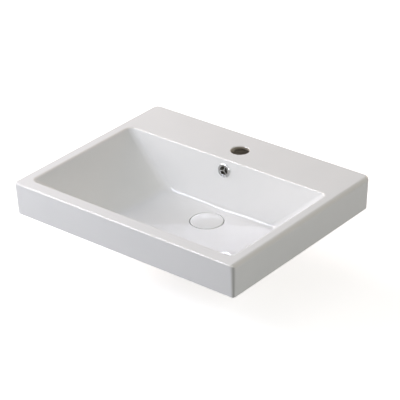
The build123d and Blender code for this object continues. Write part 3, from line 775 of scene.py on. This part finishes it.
# %% [markdown]
# The rubber rings are moulded. Their skin copies the fine spark-eroded grain of the mould, and talc makes
# it blotchy. The same recipe serves the black and the grey rubber.

# %% Moulded rubber
def moulded_rubber(name, deep, dusty):
    material, tree, shader, place = new_material(name)
    grain, talc = noise(tree, place, 0.8, 3.0), noise(tree, place, 11, 5.0)
    feed(shader, Base_Color=mix_colours(tree, talc, deep, dusty), Roughness=between(tree, talc, 0.45, 0.75),
         Normal=relief(tree, grain, 0.5, 0.08))
    return material


black_rubber = moulded_rubber("moulded_epdm_rubber_black", "19191b", "2d2d2e")
grey_rubber = moulded_rubber("moulded_rubber_grey", "787874", "93938d")

# %% [markdown]
# Two plastics. The slip washer is stamped from milky polyethylene sheet and is waxy. The click rotor is
# moulded in acetal, which is whiter, harder and slick. Both let a little light in.

# %% Polyethylene and acetal
def moulded_plastic(name, pale, shaded, gloss, cloudiness):
    material, tree, shader, place = new_material(name)
    flow = noise(tree, place, 6, 3.0)
    feed(shader, Base_Color=mix_colours(tree, flow, pale, shaded),
         Roughness=between(tree, flow, gloss, gloss + 0.15), Normal=relief(tree, flow, 0.2, 0.05))
    shader.inputs["Subsurface Weight"].default_value = cloudiness
    shader.inputs["Subsurface Scale"].default_value = 1.0 * MM
    return material


polyethylene = moulded_plastic("stamped_polyethylene", "e6e6de", "d5d6cf", 0.35, 0.25)
acetal = moulded_plastic("moulded_acetal", "e9e7dd", "dedbcf", 0.25, 0.15)

# %% [markdown]
# Spring wire is drawn through a die, which leaves fine lines along it, and then it is polished. Lines that
# follow a coil look like noise that is drawn out level, so the pattern is squeezed in height.

# %% Drawn spring steel
SQUEEZE = Vector((1, 1, 12))


def drawn_steel():
    material, tree, shader, place = new_material("drawn_stainless_spring_wire")
    level = add_node(tree, "ShaderNodeMapping", {"Vector": place, "Scale": SQUEEZE})
    lines = noise(tree, level.outputs[0], 2, 3.0)
    feed(shader, Base_Color=mix_colours(tree, lines, "c3c5c8", "9fa2a6"),
         Roughness=between(tree, lines, 0.15, 0.35))
    shader.inputs["Metallic"].default_value = 1.0
    return material


spring_steel = drawn_steel()

# %% [markdown]
# A thread and a spring follow a rule, so Geometry Nodes make them. The tail's thread is an
# inch-and-a-quarter pipe thread with rounded crests. It is made from a flat grid that is rolled up: across
# the grid lies the turn, up the grid lies the height, and the radius at each point is a wave that climbs
# one pitch per turn and fades out at both ends.

# %% Thread of the tail
TAIL_TOP, TAIL_END = -105, -128        # free thread, millimetres
THREAD = {"Mean radius": 20.215 * MM, "Half depth": 0.74 * MM, "Pitch": 2.309 * MM,
          "Length": (TAIL_TOP - TAIL_END) * MM, "Run-out": 2.6 * MM, "Relief": 0.2 * MM}
THREAD_COLUMNS, THREAD_ROWS = 97, 141
SEAM_GAP = 0.01                        # millimetres, the rolled grid's edges are merged when this close


def thread_tree():
    tree, size, out = new_shape_tree("pipe thread", THREAD)
    grid = add_node(tree, "GeometryNodeMeshGrid", {
        "Size X": 1.0, "Size Y": 1.0, "Vertices X": THREAD_COLUMNS, "Vertices Y": THREAD_ROWS})
    place = own_position(tree)
    known = {"x": place["X"], "y": place["Y"], **{name.lower(): size[name] for name in THREAD}}
    work_out(tree, known, [
        ("turn", "ADD", "x", 0.5), ("up", "ADD", "y", 0.5), ("height", "MULTIPLY", "up", "length"),
        ("pitches", "DIVIDE", "height", "pitch"), ("climb", "SUBTRACT", "pitches", "turn"),
        ("phase", "MULTIPLY", "climb", 2 * pi), ("wave", "COSINE", "phase"),
        ("below top", "SUBTRACT", "length", "height"), ("to end", "MINIMUM", "height", "below top")])
    known["fade"] = add_node(tree, "ShaderNodeMapRange", {
        "Value": known["to end"], "From Max": known["run-out"]}, interpolation_type="SMOOTHSTEP").outputs[0]
    work_out(tree, known, [
        ("faded", "MULTIPLY", "wave", "fade"), ("swing", "MULTIPLY", "faded", "half depth"),
        ("bare end", "SUBTRACT", 1.0, "fade"), ("groove", "MULTIPLY", "bare end", "relief"),
        ("wavy", "ADD", "mean radius", "swing"), ("radius", "SUBTRACT", "wavy", "groove"),
        ("angle", "MULTIPLY", "turn", 2 * pi), ("cos", "COSINE", "angle"), ("sin", "SINE", "angle"),
        ("across", "MULTIPLY", "radius", "cos"), ("back", "MULTIPLY", "radius", "sin")])
    rolled = add_node(tree, "ShaderNodeCombineXYZ", {
        "X": known["across"], "Y": known["back"], "Z": known["height"]})
    moved = add_node(tree, "GeometryNodeSetPosition", {
        "Geometry": grid.outputs["Mesh"], "Position": rolled.outputs[0]})
    closed = add_node(tree, "GeometryNodeMergeByDistance", {
        "Geometry": moved.outputs[0], "Distance": SEAM_GAP * MM})
    return close_tree(tree, closed.outputs[0], chrome, out)


thread = grow("tail_thread", thread_tree(), THREAD)
thread.data.transform(Matrix.Translation(Vector((DRAIN.x, DRAIN.y, TAIL_END)) * MM))
print("thread:", len(thread.data.polygons), "faces")

# %% [markdown]
# The thread takes the place of the plain cylinder at the end of the waste body. As with the china, a copy
# of the solid's mesh loses those faces and the thread is sewn to the loops that are left.

# %% Waste body with its thread
PLAIN_TAIL_R = 20.1                    # the plain tail's faces lie farther from the axis than this
LEVEL = 0.9                            # a face whose normal has more than this along Z is level


def waste_with_thread():
    waste = bmesh.new()
    waste.from_mesh(nodes["waste_body"].data)
    bmesh.ops.remove_doubles(waste, verts=waste.verts, dist=MERGED_WITHIN * MM)

    def from_axis(point):
        return hypot(point.x / MM - DRAIN.x, point.y / MM - DRAIN.y)

    plain = [face for face in waste.faces if face.calc_center_median().z < (TAIL_TOP + 0.01) * MM
             and min(from_axis(vert.co) for vert in face.verts) > PLAIN_TAIL_R and
             (abs(face.normal.z) < LEVEL or face.calc_center_median().z > (TAIL_TOP - 0.5) * MM)]
    bmesh.ops.delete(waste, geom=plain, context="FACES")
    waste.from_mesh(thread.data)
    loops = sorted(open_loops(waste), key=lambda loop: (round(loop[0].co.z / MM), -from_axis(loop[0].co)))
    print("waste loops:", [(round(loop[0].co.z / MM, 2), round(from_axis(loop[0].co), 3), len(loop))
                           for loop in loops])
    for outer, inner in (loops[:2], loops[2:]):
        fill_flat(waste, [outer, inner], ACROSS, BACK)
    return waste


waste_body = finish_surface("waste_body_threaded", waste_with_thread(), sharp_angle=40)
bpy.data.objects.remove(thread)
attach(waste_body, "root")
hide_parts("waste_body")

# %% [markdown]
# The spring is a wire that runs up a helix, with its end coils drawn together so that they sit flat. It
# stands on the cartridge's base and carries the rotor, so it has to shorten and lengthen as the plug moves.
# The blend lets its foot stay with the basin and its top follow the plug.

# %% Return spring
SPRING = {"Coils": 6.0, "Coil radius": 4.7 * MM, "Wire radius": 0.45 * MM, "Height": 10.35 * MM,
          "Closed ends": 0.75}
SPRING_FOOT, SPRING_TOP = -86.43, -76.08
STEPS_PER_COIL, STEPS_ROUND_WIRE = 48, 14


def spring_tree():
    tree, size, out = new_shape_tree("coil spring", SPRING)
    helix = add_node(tree, "GeometryNodeCurveSpiral", {
        "Resolution": STEPS_PER_COIL, "Rotations": size["Coils"], "Start Radius": size["Coil radius"],
        "End Radius": size["Coil radius"], "Height": size["Height"]})
    height = own_position(tree)["Z"]
    level = add_node(tree, "ShaderNodeMapRange", {
        "Value": height, "From Max": size["Height"], "To Max": size["Height"]},
        interpolation_type="SMOOTHERSTEP")
    known = work_out(tree, {"level": level.outputs[0], "z": height, "ends": size["Closed ends"]}, [
        ("off", "SUBTRACT", "level", "z"), ("shift", "MULTIPLY", "off", "ends")])
    shift = add_node(tree, "ShaderNodeCombineXYZ", {"Z": known["shift"]})
    drawn = add_node(tree, "GeometryNodeSetPosition", {
        "Geometry": helix.outputs[0], "Offset": shift.outputs[0]})
    wire = add_node(tree, "GeometryNodeCurvePrimitiveCircle", {
        "Resolution": STEPS_ROUND_WIRE, "Radius": size["Wire radius"]})
    swept = add_node(tree, "GeometryNodeCurveToMesh", {
        "Curve": drawn.outputs[0], "Fill Caps": True, "Profile Curve": wire.outputs[0]})
    smooth = add_node(tree, "GeometryNodeSetShadeSmooth", {"Geometry": swept.outputs[0]})
    return close_tree(tree, smooth.outputs[0], spring_steel, out)


spring = grow("return_coil", spring_tree(), SPRING)
spring.data.transform(Matrix.Translation(Vector((DRAIN.x, DRAIN.y, SPRING_FOOT)) * MM))
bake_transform(spring, "root", "plug", start=Vector((0, DRAIN.y, SPRING_FOOT)) * MM,
         end=Vector((0, DRAIN.y, SPRING_TOP)) * MM)
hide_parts("return_spring")
print("spring:", len(spring.data.polygons), "faces")

# %% A finish for each piece
finishes = {
    china: [china_body, nodes["china_cap"]],
    chrome: [waste_body, nodes["overflow_cover"], nodes["cap_carrier"]],
    brass: [nodes[name] for name in ("back_nut", "cartridge_housing", "cartridge_base", "plunger")],
    black_rubber: [nodes["cone_washer"], nodes["plug_ring"]],
    grey_rubber: [nodes["flange_seal"]],
    polyethylene: [nodes["slip_washer"]],
    acetal: [nodes["click_rotor"]],
    spring_steel: [spring],
}
for material, pieces in finishes.items():
    for piece in pieces:
        piece.data.materials.clear()
        piece.data.materials.append(material)
    print(material.name, "on", ", ".join(piece.name for piece in pieces))

# %% [markdown]
# The photograph has soft light and is cut out on white. So the floor and the world are white to
# the camera and in the gloss, but they give the object less light than that: a white floor would fill the
# hollow under the deck with light, and the tap hole is dark in the photograph.

# %% Floor and background
FLOOR_LEVEL = solid_low.z - 0.2 * MM
FLOOR_GLOW = 0.62         # what the camera sees of the floor besides the lamps' light on it
FLOOR_GREY, FLOOR_WHITE = "8c8c8c", "f6f6f6"       # as it lights the object, and as it is seen
FLOOR_REACH = 6           # metres from the middle to its edges
WORLD_LIGHT = 0.175


def white_to_the_eye(tree):
    """1 for camera, glossy and transmission rays, 0 for the rays that light the object."""
    path = tree.nodes.new("ShaderNodeLightPath").outputs
    known = work_out(tree, {name: path[name] for name in ("Is Camera Ray", "Is Glossy Ray",
                                                          "Is Transmission Ray")},
                     [("either", "MAXIMUM", "Is Camera Ray", "Is Glossy Ray"),
                      ("any", "MAXIMUM", "either", "Is Transmission Ray")])
    return known["any"]


def add_floor():
    material, tree, shader, _ = new_material("studio_floor")
    seen = white_to_the_eye(tree)
    colour = mix_colours(tree, seen, FLOOR_GREY, FLOOR_WHITE)
    glow = add_node(tree, "ShaderNodeMath", {0: seen, 1: FLOOR_GLOW}, operation="MULTIPLY")
    feed(shader, Base_Color=colour, Emission_Strength=glow.outputs[0])
    shader.inputs["Emission Color"].default_value = (1, 1, 1, 1)
    shader.inputs["Roughness"].default_value = 1.0
    shader.inputs["Specular IOR Level"].default_value = 0.0
    mesh = bpy.data.meshes.new("floor")
    corners = [(x * FLOOR_REACH, y * FLOOR_REACH, FLOOR_LEVEL)
               for x, y in ((-1, -1), (1, -1), (1, 1), (-1, 1))]
    mesh.from_pydata(corners, [], [(0, 1, 2, 3)])
    mesh.materials.append(material)
    add_piece("floor", mesh)


def set_world():
    world = bpy.data.worlds.new("studio")
    bpy.context.scene.world = world
    world.use_nodes = True
    tree = world.node_tree
    sky = tree.nodes["Background"]
    strength = between(tree, white_to_the_eye(tree), WORLD_LIGHT, 1.0)
    tree.links.new(strength, sky.inputs["Strength"])
    sky.inputs["Color"].default_value = (1, 1, 1, 1)


add_floor()
set_world()

# %% Lamps
LAMP_AIM = Vector((0, 0, 0.03))


def add_lamp(name, place, size, watts, colour):
    lamp = bpy.data.lights.new(name, "AREA")
    lamp.shape = "RECTANGLE"
    lamp.size, lamp.size_y = size
    lamp.energy = watts
    lamp.color = linear(colour)[:3]
    light = add_piece(name, lamp)
    towards = (Vector(place) - LAMP_AIM).to_track_quat("Z", "Y").to_matrix().to_4x4()
    light.matrix_world = Matrix.Translation(place) @ towards


LAMPS = {                 # place and size in metres, power in watts, colour
    "key": ((-1.4, -1.5, 1.5), (1.1, 0.4), 25.5, "ebeeff"),
    "low front": ((-1.1, -1.9, 0.7), (1.0, 1.0), 10.6, "fffcf9"),
    "near front": ((-0.75, -1.0, 0.35), (0.5, 0.5), 1.55, "eef3ff"),
    "left": ((-2.0, 0.1, 1.0), (1.0, 1.0), 29.5, "fff4f1"),
    "behind": ((0.1, 1.6, 0.7), (0.8, 0.6), 4.0, "ffe4cc"),
    "right": ((2.0, -0.4, 1.2), (1.0, 1.0), 14.0, "fffffa"),
}
for name, (place, size, watts, colour) in LAMPS.items():
    add_lamp(name, place, size, watts, colour)
bpy.context.scene.view_settings.view_transform = "Standard"
print(len(LAMPS), "lamps")
